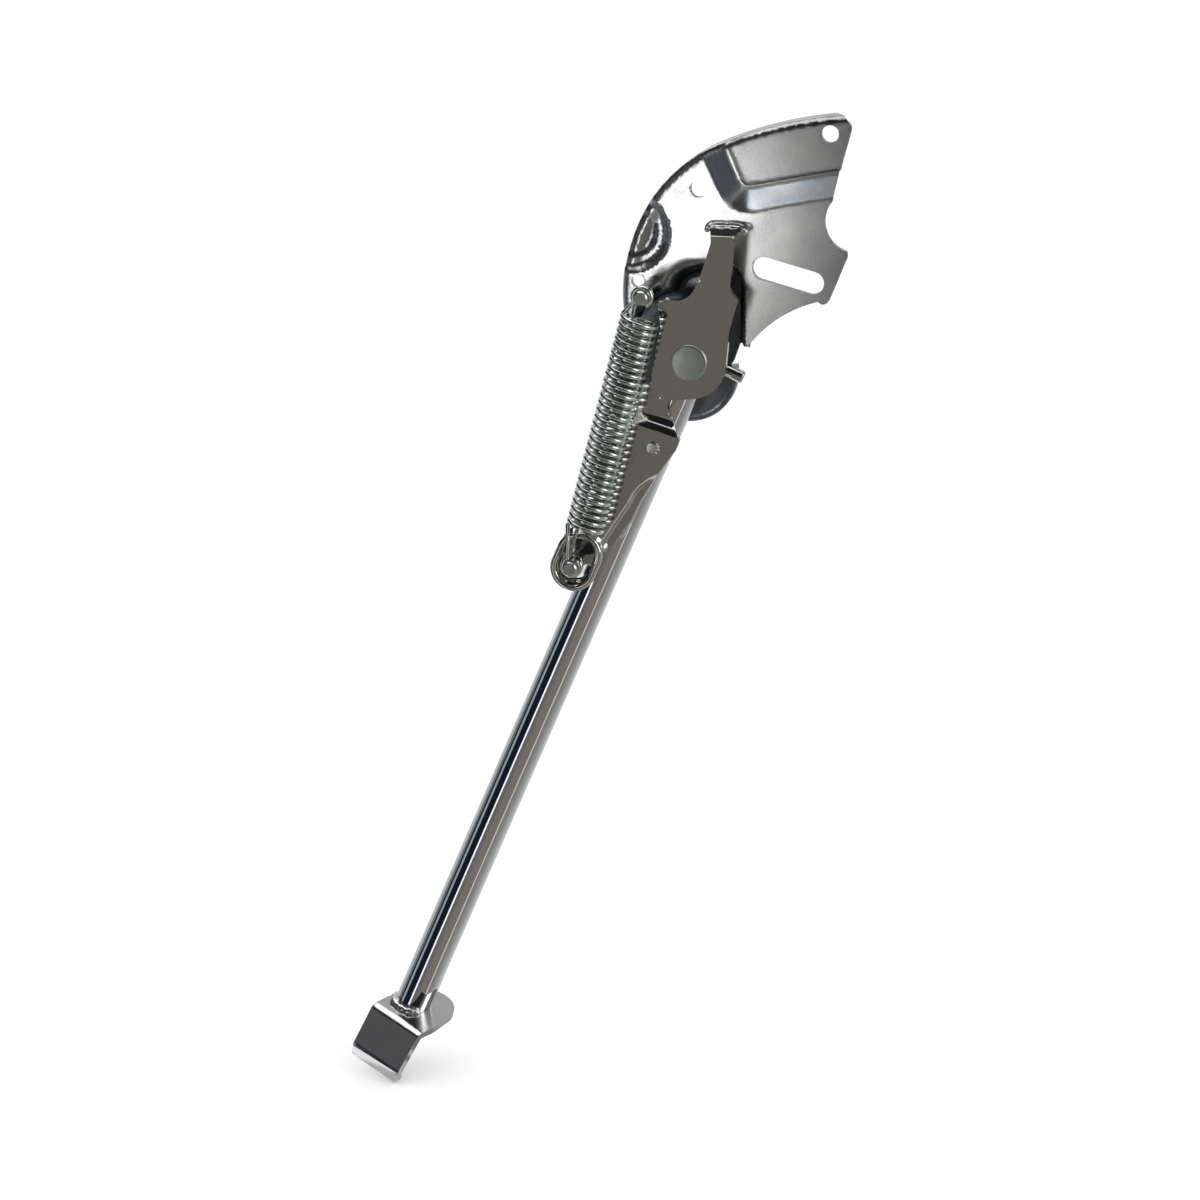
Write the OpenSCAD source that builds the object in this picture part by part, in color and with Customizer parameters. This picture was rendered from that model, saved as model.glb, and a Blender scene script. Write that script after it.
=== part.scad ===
// Sprung side stand that bolts under a rear axle nut: a pressed bracket, a
// swinging tube leg, and two nested tension springs that pull it past centre.
// Origin: middle of the axle slot on the bracket's back face.
// +X points rearward, +Y towards the wheel, +Z up.

/* [Sheet metal] */
// Thickness of every pressed plate
sheet = 3; // [2.5:0.25:3.5]
// Depth of the rim turned back round the bracket's front edge
flange_depth = 6; // [5:0.5:9]

/* [Axle slot] */
// Width across the axle slot
slot_w = 9.8; // [9.5:0.1:10.5]
// Length of the axle slot, end to end
slot_len = 31; // [26:0.5:33]
// Slope of the slot, downward to the rear
slot_slope = 14.5; // [10:0.5:18]

/* [Bolt holes] */
// Diameter of the two frame bolt holes
bolt_d = 7.3; // [6.5:0.1:8.5]
// Diameter of the small hole beside the spring post
pilot_d = 5.4; // [4:0.1:6]

/* [Leg] */
// Outer diameter of the leg tube
tube_d = 16; // [15:0.25:16.5]
// Wall of the leg tube
tube_wall = 1.8; // [1.5:0.1:2.5]
// Length from the pivot down to the foot
leg_len = 324; // [280:1:345]
// Length of tube above the pivot, which bears on the bracket
leg_top = 27; // [22:0.5:27.5]
// Angle of the leg from upright, foot forward
leg_tilt = 22.8; // [20:0.1:25]
// Running gap between parts that turn
run_gap = 0.3; // [0.2:0.05:0.5]

/* [Pivot] */
// Diameter of the pivot rivet's shank
rivet_d = 8; // [7:0.1:9]
// Diameter of the rivet's flat head
rivet_head_d = 15.4; // [13:0.1:17]
// Radial clearance of the rivet in its bush
rivet_fit = 0.05; // [0.02:0.01:0.1]
// Diameter of the stop peg on the tube
peg_d = 5.4; // [4:0.1:6]
// Reach of the stop peg from the pivot
peg_reach = 22.6; // [18:0.2:24]

/* [Springs] */
// Diameter of the two spring pins
pin_d = 5; // [4:0.1:5.5]
// Outside diameter of the outer spring
outer_od = 17; // [15:0.5:17.5]
// Wire of the outer spring
outer_wire = 2; // [1.6:0.1:2.2]
// Turns of the outer spring
outer_turns = 30; // [20:1:34]
// Outside diameter of the inner spring
inner_od = 10; // [9:0.25:10.5]
// Wire of the inner spring
inner_wire = 1.8; // [1.2:0.1:2]
// Turns of the inner spring
inner_turns = 33; // [20:1:36]

/* [Foot] */
// Width of the foot plate
foot_w = 29; // [24:0.5:34]
// Length of the foot's welded flange
foot_len = 32; // [28:0.5:36]
// Height of the foot's front web
web_len = 19.8; // [14:0.2:24]
// Length of the foot's lower lip
lip_len = 6; // [4:0.2:10]

/* [Hidden] */
$fn = 64;

tube_r = tube_d / 2;
bend = 0.9 * sheet;
arc_step = 0.1;     // step between the rim's two arcs where they meet
rim_lap = 4;        // flat border inside the rim's lower arc
top_lap = 7.5;      // and inside its upper arc
edge_lap = 1;       // how far pressed areas run under one another
wedge = 12;         // angle of the rim that the panel's foot crosses
wedge_lap = 8;
seat = 0.5;         // hidden clearance behind the rim's wall
pin_r = pin_d / 2;
peened = 0.6;       // how far a pin's riveted end stands out
bush_r = rivet_d / 2 + 1.5;

// Levels along Y, from the wheel side to the rider's side
face_y = -sheet;                              // front of the bracket's flat
floor_y = 5;                                  // front of the recess floor
back_y = floor_y + sheet;                     // back of the recess floor
rim_back = face_y + flange_depth;             // back of the turned rim
tube_y = floor_y - run_gap - tube_r;          // axis of the leg tube
tab_y = tube_y - tube_r - 0.2;                // back of the spring arm's tab
fork_y = tab_y - sheet - 2 * run_gap + 0.1;   // back of the fork plate
coil_y = fork_y - sheet - 1.5 - outer_od / 2; // axis of both springs
pin_end_y = coil_y - 6;                       // free ends of the spring pins

// Places in the bracket's plane, as [x, z]
pivot = [-38.8, -35.3];
post = [-56.6, -6];
bolt_low = [-37.9, 35.2];
bolt_high = [17.6, 60.9];
pilot = [-63.6, -4.8];

// The bracket's rim: a tight arc that runs on into a wide one at the join angle
rim_r = 71.2;
rim_c = [0.5, -10];
top_r = 167;
join_a = 113.7;
top_c = rim_c + (rim_r - top_r) * [cos(join_a), sin(join_a)];
rim_end = 187;
top_start = 92;

// The recess round the leg's upper end: its right wall is the stop of the open leg
recess_r = norm([leg_top, tube_r]) + 1;
stop_x = pivot.x + leg_top * sin(leg_tilt) + tube_r * cos(leg_tilt) + run_gap;
recess_top = 3;
recess_left = -50;
wall_end = pivot.y + 4.3;
ear_r = 21;
ear_c = [-44, -45.5];

// The raised panel at the upper rear
panel_rise = 5;
panel_foot = [[-45, 66], [-31.1, 35.8], [-26.6, 28.9], [-20.1, 25.5], [-15.8, 25.7], [-2.8, 28.9],
    [16.2, 32.6], [45, 38], [45, 90], [-45, 90]];
panel_edge = [[-34, 71], [-19.3, 37.6], [-15.5, 37.1], [2.1, 40.9], [45, 49.8], [45, 90], [-34, 90]];

// The thumb dimple in the rim
dimple_c = [-67.1, 15.9];
dimple_r = 17.5;
dimple_deep = 4;

// The spring anchor, in the leg's own frame (x across the tube, z along it)
anchor = [-10, -99.5];
arm_rise = 3.5;
dish_r = 10;
dish_half = 3.3;
dish_wall = 3;
dish_rise = 3.5;
arm_rivet_at = [-0.2, -40.3];

// The anchor in the bracket's frame, and the line from it up to the post
anchor_at = pivot + [anchor.x * cos(leg_tilt) + anchor.y * sin(leg_tilt),
    anchor.y * cos(leg_tilt) - anchor.x * sin(leg_tilt)];
spring_len = norm(post - anchor_at);
spring_tilt = atan2(post.x - anchor_at.x, post.y - anchor_at.y);
coil_top = -9.5;
coil_end = 17 - spring_len;

// The foot's place and attitude
foot_turn = [3.6, 15.2, -28.8];
foot_at = [-4.5, 15.6];
web_drop = 58;
lip_drop = 20;

// --- Helpers ---

function unit(v) = v / norm(v);

// Points of an arc of radius r that rounds the corner b between a and c
function corner(a, b, c, r, n) =
    let (u = unit(a - b), w = unit(c - b), half = acos(u * w) / 2,
        p = b + u * r / tan(half), q = b + w * r / tan(half),
        o = b + unit(u + w) * r / sin(half),
        a0 = atan2(p.y - o.y, p.x - o.x), a1 = atan2(q.y - o.y, q.x - o.x),
        turn = (a1 - a0 + 540) % 360 - 180)
    [for (i = [0:n]) o + r * [cos(a0 + turn * i / n), sin(a0 + turn * i / n)]];

// A polygon from [x, z, corner radius] triples
function rounded(pts, n = 6) =
    let (m = len(pts), flat = [for (p = pts) [p.x, p.y]])
    [for (i = [0:m - 1]) each pts[i].z == 0 ? [flat[i]]
        : corner(flat[(i + m - 1) % m], flat[i], flat[(i + 1) % m], pts[i].z, n)];

// A sheet of the given outline whose back lies at y
module slab(y, t = sheet) {
    translate([0, y, 0]) rotate([90, 0, 0]) linear_extrude(t) children();
}

// A bar along Y at [x, z], from y0 (front) to y1 (back)
module bar(at, r, y0, y1) {
    translate([at.x, y1, at.y]) rotate([90, 0, 0]) cylinder(r = r, h = y1 - y0);
}

// A rim bent back round a circle, front at y and back at y_end. A border of the given width
// and thickness lies flat inside it.
module bent_rim(c, r, a0, a1, y, y_end, border = 0, thick = sheet) {
    translate([c.x, y + sheet, c.y]) rotate([90, 0, 0]) rotate([0, 0, a0])
        rotate_extrude(angle = a1 - a0, $fn = 128)
            polygon(rounded([[r - sheet - border, sheet, 0], [r, sheet, bend],
                [r, y + sheet - y_end, 0], [r - sheet, y + sheet - y_end, 0],
                each border == 0 ? [] : [[r - sheet, sheet - thick, 0],
                    [r - sheet - border, sheet - thick, 0]]], 4));
}

module in_leg() {
    translate([pivot.x, 0, pivot.y]) rotate([0, leg_tilt, 0]) children();
}

module in_foot() {
    in_leg() translate([0, tube_y, -leg_len]) rotate([0, -leg_tilt, 0]) rotate(foot_turn) children();
}

module in_spring() {
    translate([post.x, coil_y, post.y]) rotate([0, spring_tilt, 0]) children();
}

// --- Bracket ---

// Front of the bracket, but for its rim's two arcs
module face_sides() {
    difference() {
        polygon(rounded([[-90, 80, 0], [-90, -40, 0], [-16.5, -40, 0], [-16.5, -11.6, 0],
            [16.6, -11.6, 3.5], [24.8, 9, 3], [18, 31, 0], [28.2, 69.6, 5], [-90, 69.6, 0]]));
        translate([28, 23.5]) circle(13);
        translate([27, -62.5]) circle(54, $fn = 128);
    }
}

// Front of the bracket, short of its lower arc by inset, and of its upper arc by top_lap more
module face_outline(inset) {
    split = 200 * [cos(join_a), sin(join_a)];
    intersection() {
        face_sides();
        union() {
            intersection() {
                translate(rim_c) circle(rim_r - inset, $fn = 128);
                polygon([rim_c, rim_c + split, [-150, 190], [-150, -60], [60, -60], [60, -10]]);
            }
            intersection() {
                translate(top_c) circle(top_r - arc_step - top_lap - inset, $fn = 256);
                polygon([rim_c, rim_c + split, [90, 190], [90, -60], [-16, -60]]);
            }
        }
    }
}

// The recess seen from the front, grown by g
module recess_outline(g) {
    r = 9 + g;
    intersection() {
        translate(pivot) circle(recess_r + g, $fn = 96);
        translate([-100, -100]) square([100 + stop_x + g, 200]);
    }
    difference() {
        translate([recess_left - g, pivot.y]) square([stop_x - recess_left + 2 * g, recess_top - pivot.y + g]);
        translate([stop_x + g - r, recess_top + g - r]) square(r + 1);
        translate([recess_left - g - 1, recess_top + g - r]) square(r + 1);
    }
    for (x = [recess_left - g + r, stop_x + g - r]) translate([x, recess_top + g - r]) circle(r);
}

// What is left of the recess where the leg comes out of it
module recess_keep() {
    polygon([[-120, -44], [pivot.x, -44], [pivot.x, wall_end], [60, wall_end], [60, 60], [-120, 60]]);
}

module ear_floor() {
    intersection() {
        recess_outline(sheet);
        recess_keep();
    }
    translate(ear_c) circle(ear_r - sheet - edge_lap);
    polygon([[stop_x + sheet, -20], [stop_x + sheet, wall_end], ear_c + ear_r * [cos(15), sin(15)],
        ear_c, ear_c - (ear_r - edge_lap) * [cos(15), sin(15)], [-69, -44], [-60, -20]]);
}

module panel_block(shift) {
    translate([0, shift, 0]) hull() {
        slab(30, 30 + sheet) polygon(panel_foot);
        slab(0.1 - sheet - panel_rise, 0.1) polygon(panel_edge);
    }
}

module slot_cut() {
    rotate([0, slot_slope, 0]) {
        for (s = [-1, 1]) translate([s * (slot_len - slot_w) / 2, 0, 0])
            rotate([90, 0, 0]) cylinder(r = slot_w / 2, h = 30, center = true);
        cube([slot_len - slot_w, 30, slot_w], center = true);
    }
}

module bracket_plate() {
    color("gainsboro") difference() {
        union() {
            // flat face and the rim's lower arc, open at the recess and the thumb dimple
            difference() {
                union() {
                    slab(0) difference() {
                        face_outline(sheet + edge_lap);
                        polygon(panel_foot);
                        recess_outline(sheet);
                    }
                    bent_rim(rim_c, rim_r, join_a + wedge_lap, rim_end, face_y, rim_back, rim_lap);
                }
                slab(1, sheet + 2) intersection() {
                    translate(dimple_c) circle(dimple_r + seat);
                    translate(rim_c) circle(rim_r - sheet - seat);
                }
            }
            // thumb dimple
            intersection() {
                slab(dimple_deep, sheet + dimple_deep) face_outline(0.75 * sheet);
                translate([dimple_c.x, 0, dimple_c.y]) rotate([90, 0, 0]) rotate_extrude()
                    polygon([[0, sheet - dimple_deep], [dimple_r - 5, sheet - dimple_deep],
                        [dimple_r - 1, sheet], [dimple_r + 1.5, sheet], [dimple_r + 1.5, 0],
                        [dimple_r + 0.3, 0], [dimple_r - 3.7, -dimple_deep], [0, -dimple_deep]]);
            }
            // raised panel, its sloped border and the rim's upper arc
            intersection() {
                slab(0, sheet + panel_rise) face_outline(sheet + edge_lap);
                difference() {
                    panel_block(0);
                    panel_block(sheet);
                }
            }
            intersection() {
                union() {
                    intersection() {
                        bent_rim(top_c, top_r - arc_step, top_start, join_a, face_y - panel_rise,
                            rim_back, top_lap + 2);
                        slab(40, 60) face_sides();
                    }
                    difference() {
                        bent_rim(rim_c, rim_r, join_a, join_a + wedge, face_y - panel_rise, rim_back,
                            rim_lap, rim_back + panel_rise + sheet);
                        intersection() {
                            slab(40, 60) translate(rim_c) circle(rim_r - sheet - seat);
                            panel_block(sheet);
                        }
                    }
                }
                panel_block(0);
            }
            // recess wall and floor
            slab(back_y, back_y - face_y) intersection() {
                difference() {
                    recess_outline(sheet);
                    recess_outline(0);
                }
                recess_keep();
            }
            slab(back_y) ear_floor();
            bent_rim(ear_c, ear_r, 190, 371, floor_y, back_y + 5, rim_lap);
        }
        slot_cut();
        bar(bolt_low, bolt_d / 2, -20, 20);
        bar(bolt_high, bolt_d / 2, -20, 20);
        bar(pilot, pilot_d / 2, -20, 3);
        bar(pivot, rivet_d / 2 + rivet_fit, -20, 20);
        bar(post, pin_r + 0.05, -20, 20);
    }
}

// The flared tab at the top of the neck, bent back to the bracket's face
module neck_tab() {
    hull() {
        slab(fork_y) translate([-29.4, 15]) square([9.2, 3]);
        slab(face_y, 0.3) translate([-32.8, 20.5]) square([14.6, 3]);
    }
}

module fork_plate() {
    color("silver") difference() {
        union() {
            slab(fork_y) polygon(rounded([[-51.2, -52.5, 4], [-24.4, -49.4, 15], [-22, -22, 8],
                [-18.4, -8.6, 2], [-21.7, -4, 4], [-20.2, 18, 0], [-29.4, 18, 0], [-35, -0.5, 20],
                [-39.6, -9.9, 5], [-52.4, -8.4, 2.5], [-51, -21.5, 8], [-55, -42, 8]]));
            neck_tab();
        }
        bar(pivot, rivet_d / 2 + rivet_fit, -60, 0);
    }
}

module neck_weld() {
    color("dimgray") difference() {
        for (z = [20.5, 23.5]) translate([-32, face_y, z]) rotate([0, 90, 0]) cylinder(r = 1.6, h = 13);
        translate([-40, face_y, 10]) cube([30, 10, 20]);
        neck_tab();
    }
}

module pivot_rivet() {
    front = fork_y - sheet;
    color("darkkhaki") {
        bar(pivot, rivet_d / 2, front - 0.5, back_y + 0.5);
        translate([pivot.x, front - 1, pivot.y]) rotate([-90, 0, 0]) {
            cylinder(r1 = rivet_head_d / 2 - 0.5, r2 = rivet_head_d / 2, h = 0.5);
            translate([0, 0, 0.5]) cylinder(r = rivet_head_d / 2, h = 0.5);
        }
        translate([pivot.x, back_y, pivot.y]) rotate([-90, 0, 0])
            cylinder(r1 = rivet_d / 2 + 3, r2 = rivet_d / 2 + 1.5, h = 1.6);
    }
}

module spring_post() {
    color("silver") {
        bar(post, pin_r, pin_end_y, peened);
        bar(post, pin_r + 1.2, coil_y + 4, face_y);
        bar(post, pin_r + 0.8, pin_end_y, pin_end_y + 1.5);
    }
}

// --- Leg ---

module leg_tube() {
    color("whitesmoke") difference() {
        in_leg() translate([0, tube_y, -leg_len - tube_d]) difference() {
            cylinder(r = tube_r, h = leg_len + leg_top + tube_d);
            translate([0, 0, -1]) cylinder(r = tube_r - tube_wall, h = leg_len + leg_top + tube_d + 2);
        }
        in_foot() translate([-50, -50, -100]) cube([100, 100, 100]);
        bar(pivot, bush_r, -30, 20);
        in_leg() bar(arm_rivet_at, peg_d / 2, -30, tube_y);
    }
}

module pivot_bush() {
    color("gray") difference() {
        bar(pivot, bush_r - 0.03, tab_y - sheet, tube_y + tube_r);
        bar(pivot, rivet_d / 2 + rivet_fit, -30, 20);
    }
}

module stop_peg() {
    color("silver") in_leg() difference() {
        translate([0, tube_y - 4.2, 1]) rotate([0, 90, 0]) {
            cylinder(r = peg_d / 2, h = peg_reach - 0.5);
            cylinder(r = peg_d / 2 - 0.5, h = peg_reach);
        }
        translate([0, tube_y, -20]) cylinder(r = tube_r, h = 40);
        bar([0, 0], bush_r, -30, 20);
    }
}

// Outline of the spring arm's raised part, on the leg
module arm_outline() {
    polygon(rounded([[-14.5, -33.5, 2], [9.3, -31.5, 1.5], [9.6, -38, 4], [6.2, -51, 3], [3.6, -53.5, 2],
        [-1, -62, 4], [-1, -67, 4], [-4, -86, 0], [-4, -99, 0], [-16, -99, 0], [-19.5, -94, 6],
        [-14, -74, 8], [-14.5, -45, 3]]));
}

// The strip of the arm that is pressed back on the tube
module strip_outline() {
    polygon(rounded([[6.2, -50, 1], [3.8, -66, 8], [3.4, -76, 6], [0.5, -88, 2], [-6, -85, 0],
        [-3, -67, 0], [-3, -62, 0], [1.6, -53, 0]]));
}

// A ring with a rounded edge round the two ends and two sides of an obround
module dish_rim() {
    mid = dish_r - dish_wall / 2;
    high = arm_rise + dish_rise + sheet;
    module wall() {
        translate([mid - dish_wall / 2, 0]) square([dish_wall, high - dish_wall / 2]);
        translate([mid, high - dish_wall / 2]) circle(dish_wall / 2, $fn = 24);
    }
    translate([anchor.x, tab_y, anchor.y]) rotate([90, 0, 0]) {
        for (s = [0, 1]) rotate([0, 0, 180 * s]) {
            translate([0, dish_half, 0]) rotate_extrude(angle = 180) wall();
            translate([0, dish_half, 0]) rotate([90, 0, 0]) linear_extrude(2 * dish_half) wall();
        }
    }
}

module spring_arm() {
    color("lightgray") in_leg() difference() {
        union() {
            // tab over the bush
            slab(tab_y) {
                circle(bush_r + 6);
                polygon(rounded([[-11, 3, 0], [-11.5, -15.6, 2], [-15.2, -19.6, 2], [-12.5, -30.5, 0],
                    [4.5, -28.5, 0], [0.4, -25, 3], [-3.7, -20.5, 5], [9, -6, 0]]));
            }
            // joggle out to the raised part
            hull() {
                slab(tab_y) polygon([[-12.5, -30.5], [-12.7, -29.2], [3.6, -27.2], [4.5, -28.5]]);
                slab(tab_y - arm_rise) polygon([[-14.2, -35.5], [-14.4, -34], [9, -32], [9.3, -33.5]]);
            }
            slab(tab_y - arm_rise) arm_outline();
            // strip pressed back on the tube, and the step up to it
            slab(tab_y) strip_outline();
            slab(tab_y, sheet + arm_rise) polygon([[6.2, -50.4], [3.6, -53.5], [-1, -62], [-1, -67],
                [-4, -86], [-6.5, -86], [-3.4, -67], [-3.4, -61.4], [1.4, -52.4], [4, -49.4]]);
            // spring dish
            slab(tab_y) intersection() {
                translate(anchor) {
                    for (s = [-1, 1]) translate([0, s * dish_half]) circle(dish_r - 1);
                    square([2 * dish_r - 2, 2 * dish_half], center = true);
                }
            }
            dish_rim();
        }
        // hollow of the dish
        translate([anchor.x, tab_y - sheet, anchor.y]) rotate([90, 0, 0]) {
            for (s = [-1, 1]) translate([0, s * dish_half, 0]) cylinder(r = dish_r - dish_wall, h = 20);
            translate([-dish_r + dish_wall, -dish_half, 0])
                cube([2 * (dish_r - dish_wall), 2 * dish_half, 20]);
        }
        bar([0, 0], bush_r, -60, 20);
        bar(anchor, pin_r + 0.05, -60, 20);
        bar(arm_rivet_at, peg_d / 2, -60, 20);
    }
}

module arm_rivet() {
    color("silver") in_leg() {
        bar(arm_rivet_at, peg_d / 2 - 0.03, tab_y - arm_rise - sheet - 0.3, tube_y - tube_r + tube_wall);
    }
}

module arm_weld() {
    color("dimgray") in_leg() difference() {
        for (i = [0:7]) translate([4.2 - 0.28 * i, tab_y - 0.4, -55 - 4 * i]) sphere(2.4, $fn = 16);
        translate([0, tube_y, -120]) cylinder(r = tube_r, h = 120);
        slab(tab_y) strip_outline();
        slab(tab_y, 20) translate([-50, -120]) square([50, 100]);
    }
}

module anchor_pin() {
    color("silver") in_leg() {
        bar(anchor, pin_r, pin_end_y, tab_y);
        bar(anchor, pin_r + 1.2, coil_y + 4, tab_y - sheet);
        bar(anchor, pin_r + 0.8, pin_end_y, pin_end_y + 1.5);
    }
}

// --- Foot ---

// Side view of the foot: x forward, y up, the first bend at the origin
module foot_profile() {
    down = [cos(web_drop), -sin(web_drop)];
    out = [cos(lip_drop), -sin(lip_drop)];
    knee = web_len * down;
    toe = knee + lip_len * out;
    lift = [sin(lip_drop), cos(lip_drop)];
    polygon(rounded([[-foot_len, 0, 0], [0, 0, 4.5], [knee.x, knee.y, 2], [toe.x, toe.y, 1],
        [toe.x - sheet * lift.x, toe.y - sheet * lift.y, 1],
        [knee.x - sheet * 0.9, knee.y - sheet * 1.05, 4.5], [-sheet * 0.55, -sheet, 1.5],
        [-foot_len, -sheet, 0]]));
}

module foot_plate() {
    color("silver") in_foot() translate([-foot_at.x, -foot_at.y, 0]) intersection() {
        translate([-foot_w / 2, 0, 0]) rotate([90, 0, 90]) mirror([1, 0, 0])
            linear_extrude(foot_w) foot_profile();
        translate([0, 0, -60]) linear_extrude(80) {
            translate([0, foot_len - 12.5]) circle(12.5);
            polygon(rounded([[-foot_w / 2, -60, 0], [foot_w / 2, -60, 0], [foot_w / 2, 10, 6],
                [11.8, foot_len - 9, 3], [-11.8, foot_len - 9, 3], [-foot_w / 2, 10, 6]]));
        }
    }
}

module foot_weld() {
    color("dimgray") difference() {
        in_foot() rotate_extrude() translate([tube_r + 0.4, 0]) circle(2.2, $fn = 24);
        in_leg() translate([0, tube_y, -leg_len - 30]) cylinder(r = tube_r, h = 60);
        in_foot() translate([-50, -50, -100]) cube([100, 100, 100]);
    }
}

// --- Springs ---

// Path of a tension spring, from the loop on the upper pin to the loop on the lower one.
// r: coil radius, side: loop side in Y, n: turns, k: steps a turn.
function hook(r, side, z, dir, from, to, step) =
    [for (a = [from:step:to]) [r * cos(a), side, z + dir * r * sin(a)]];
function spring_path(r, wire, side, n, k, flip) =
    let (loop_r = pin_r + 0.4 + wire / 2, fall = (coil_top - coil_end) / n, rest = -0.2)
    concat(
        hook(loop_r, side, rest, 1, -50, 230, 28),
        [for (i = [0:n * k]) let (a = 180 + 360 * i / k)
            [r * cos(a), r * sin(a), coil_top - fall * i / k]],
        [for (p = hook(loop_r, side, -spring_len - rest, -1, -50, 230, 28)) [flip * p.x, p.y, p.z]]);

// Tube swept along a path with rings that turn as little as they can
function frames(p) =
    let (n = len(p), t = [for (i = [0:n - 1]) unit(p[min(i + 1, n - 1)] - p[max(i - 1, 0)])])
    [for (i = 0, u = unit(cross(t[0], [0.1, 1, 0.2])); i < n;
        i = i + 1, u = i < n ? unit(u - (u * t[i]) * t[i]) : u) [u, cross(t[i], u)]];

module swept(p, r, s) {
    f = frames(p);
    n = len(p);
    points = [for (i = [0:n - 1]) for (j = [0:s - 1])
        p[i] + r * (cos(360 * j / s) * f[i][0] + sin(360 * j / s) * f[i][1])];
    sides = [for (i = [0:n - 2]) for (j = [0:s - 1]) let (k = (j + 1) % s)
        each [[i * s + j, (i + 1) * s + j, (i + 1) * s + k], [i * s + j, (i + 1) * s + k, i * s + k]]];
    ends = [[for (j = [0:s - 1]) j], [for (j = [s - 1:-1:0]) (n - 1) * s + j]];
    polyhedron(points, concat(sides, ends), convexity = 10);
}

module outer_spring() {
    r = (outer_od - outer_wire) / 2;
    color("lightsteelblue") in_spring()
        swept(spring_path(r, outer_wire, -1.3, outer_turns, 10, -1), outer_wire / 2, 6);
}

module inner_spring() {
    r = (inner_od - inner_wire) / 2;
    color("slategray") in_spring()
        swept(spring_path(r, inner_wire, 1.2, inner_turns, 8, -1), inner_wire / 2, 5);
}

bracket_plate();
fork_plate();
neck_weld();
pivot_rivet();
spring_post();
leg_tube();
pivot_bush();
stop_peg();
spring_arm();
arm_rivet();
arm_weld();
anchor_pin();
foot_plate();
foot_weld();
outer_spring();
inner_spring();
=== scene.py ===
import math

import bpy
import numpy as np
from mathutils import Euler, Matrix, Vector, geometry


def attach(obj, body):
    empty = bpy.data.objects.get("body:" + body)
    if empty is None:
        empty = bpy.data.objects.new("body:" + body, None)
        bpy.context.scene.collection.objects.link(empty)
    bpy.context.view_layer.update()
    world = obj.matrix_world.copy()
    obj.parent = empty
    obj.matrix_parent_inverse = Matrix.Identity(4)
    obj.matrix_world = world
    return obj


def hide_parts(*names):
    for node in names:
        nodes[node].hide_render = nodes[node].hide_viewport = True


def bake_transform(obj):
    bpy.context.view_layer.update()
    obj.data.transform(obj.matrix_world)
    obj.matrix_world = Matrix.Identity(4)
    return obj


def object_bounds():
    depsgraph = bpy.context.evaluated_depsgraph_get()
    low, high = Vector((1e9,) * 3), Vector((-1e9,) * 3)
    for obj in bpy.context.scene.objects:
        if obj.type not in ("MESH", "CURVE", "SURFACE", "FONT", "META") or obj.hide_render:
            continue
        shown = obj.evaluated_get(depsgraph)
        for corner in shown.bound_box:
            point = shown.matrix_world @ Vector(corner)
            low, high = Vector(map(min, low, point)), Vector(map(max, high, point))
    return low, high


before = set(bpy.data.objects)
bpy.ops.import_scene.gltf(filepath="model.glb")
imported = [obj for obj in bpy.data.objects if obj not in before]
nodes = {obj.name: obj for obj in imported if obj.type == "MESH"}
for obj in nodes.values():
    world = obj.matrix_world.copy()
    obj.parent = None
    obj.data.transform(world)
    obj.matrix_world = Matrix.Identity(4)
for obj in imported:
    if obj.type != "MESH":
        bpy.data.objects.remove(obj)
cad_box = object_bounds()
scene = bpy.context.scene

# --- Camera -------------------------------------------------------------
# A long lens on the rider's side of the stand, a little behind it and a
# little above, far enough off that the plates hardly taper.
bpy.ops.object.camera_add(location=(0.3057, -1.817, 0.370),
                          rotation=(math.radians(74.5), 0, math.radians(12)))
camera = bpy.context.object
camera.data.lens = 135
camera.data.sensor_width = 36
camera.data.clip_start = 0.05
camera.data.clip_end = 80
scene.camera = camera
scene.view_settings.view_transform = "Standard"

# --- Studio -------------------------------------------------------------
# A white sweep under a white tent, with one soft box to the side and two
# small lamps kept on the bracket alone. Cards round the stand give bright
# metal light and dark to mirror, and are seen in reflections alone.
floor_z = cad_box[0].z - 0.0006
bpy.ops.mesh.primitive_plane_add(size=60, location=(0, 0, floor_z))
floor = bpy.context.object
floor.name = "floor"
sweep = bpy.data.materials.new("sweep")
sweep.use_nodes = True
sweep_shader = sweep.node_tree.nodes["Principled BSDF"]
sweep_shader.inputs["Roughness"].default_value = 0.95
sweep_shader.inputs["Specular IOR Level"].default_value = 0.1
sweep_tint = sweep.node_tree.nodes.new("ShaderNodeTexNoise")
sweep_tint.inputs["Scale"].default_value = 3
sweep_ramp = sweep.node_tree.nodes.new("ShaderNodeMix")
sweep_ramp.data_type = "RGBA"
sweep_ramp.inputs["A"].default_value = (0.93, 0.93, 0.93, 1)
sweep_ramp.inputs["B"].default_value = (0.95, 0.95, 0.95, 1)
sweep.node_tree.links.new(sweep_tint.outputs["Fac"], sweep_ramp.inputs["Factor"])
sweep.node_tree.links.new(sweep_ramp.outputs["Result"], sweep_shader.inputs["Base Color"])
floor.data.materials.append(sweep)

tent = bpy.data.worlds.new("tent")
scene.world = tent
tent.use_nodes = True
tent.node_tree.nodes["Background"].inputs["Color"].default_value = (1.0, 1.0, 1.0, 1)
tent.node_tree.nodes["Background"].inputs["Strength"].default_value = 1.12


def soft_box(name, place, aim, width, height, watts):
    """A rectangular lamp at place, turned to aim."""
    bpy.ops.object.light_add(type="AREA", location=place)
    lamp = bpy.context.object
    lamp.name = name
    lamp.data.shape = "RECTANGLE"
    lamp.data.size, lamp.data.size_y = width, height
    lamp.data.energy = watts
    lamp.rotation_euler = (Vector(aim) - Vector(place)).to_track_quat("-Z", "Y").to_euler()
    lamp.visible_camera = False
    return lamp


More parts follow.
